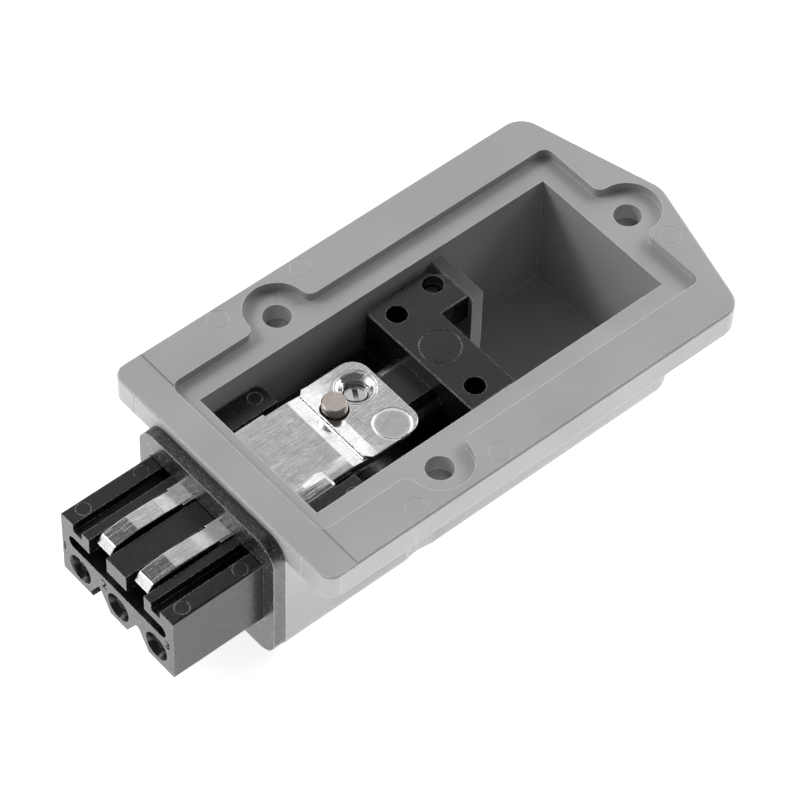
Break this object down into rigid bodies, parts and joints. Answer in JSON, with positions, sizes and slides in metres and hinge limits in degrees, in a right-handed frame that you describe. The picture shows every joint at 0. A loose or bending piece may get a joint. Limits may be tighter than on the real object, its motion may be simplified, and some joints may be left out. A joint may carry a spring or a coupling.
{
  "type": "panel power connector",
  "caption": "Flanged panel power connector with a pointed flange, open wiring cavity, rubber-sealed black contact nose with round sockets and plated spring fingers",
  "frame": {"origin": "centre of the bounding box at the underside of the deep body, on the connector's long centre line", "axes": "+X from the mating face to the pointed end of the flange, +Z out of the panel face, +Y towards the first contact"},
  "size_m": [0.1058, 0.05, 0.0271],
  "materials": {
    "housing_grey": "fine satin, warm grey",
    "gasket_rubber": "speckled foam rubber",
    "insert_black": "satin black",
    "block_black": "satin black",
    "contact_metal": "tin plated, turned",
    "sleeve_steel": "spring steel",
    "screw_steel": "zinc plated",
    "pin_steel": "turned, bright end",
    "plate_steel": "tin plated, lightly scratched"
  },
  "bodies": {
    "connector": {"housing": "housing_grey", "front_gasket": "gasket_rubber", "contact_insert": "insert_black", "terminal_block": "block_black", "contact_1": "contact_metal", "contact_2": "contact_metal", "contact_3": "contact_metal", "contact_spring_1": "sleeve_steel", "contact_spring_2": "sleeve_steel", "contact_spring_3": "sleeve_steel", "earth_plate": "plate_steel", "earth_terminal": "plate_steel", "earth_pin": "pin_steel", "block_screw": "screw_steel"},
    "first_clamp_screw": {"terminal_screw_1": "screw_steel"},
    "third_clamp_screw": {"terminal_screw_2": "screw_steel"},
    "earth_clamp_screw": {"earth_screw": "screw_steel"}
  },
  "joints": [
    {"name": "first_clamp", "type": "slide", "parent": "connector", "child": "first_clamp_screw", "axis": [0, 0, 1], "range_m": [-0.0024, 0]},
    {"name": "third_clamp", "type": "slide", "parent": "connector", "child": "third_clamp_screw", "axis": [0, 0, 1], "range_m": [-0.0024, 0]},
    {"name": "earth_clamp", "type": "slide", "parent": "connector", "child": "earth_clamp_screw", "axis": [0, 0, 1], "range_m": [-0.0007, 0.0014]}
  ]
}
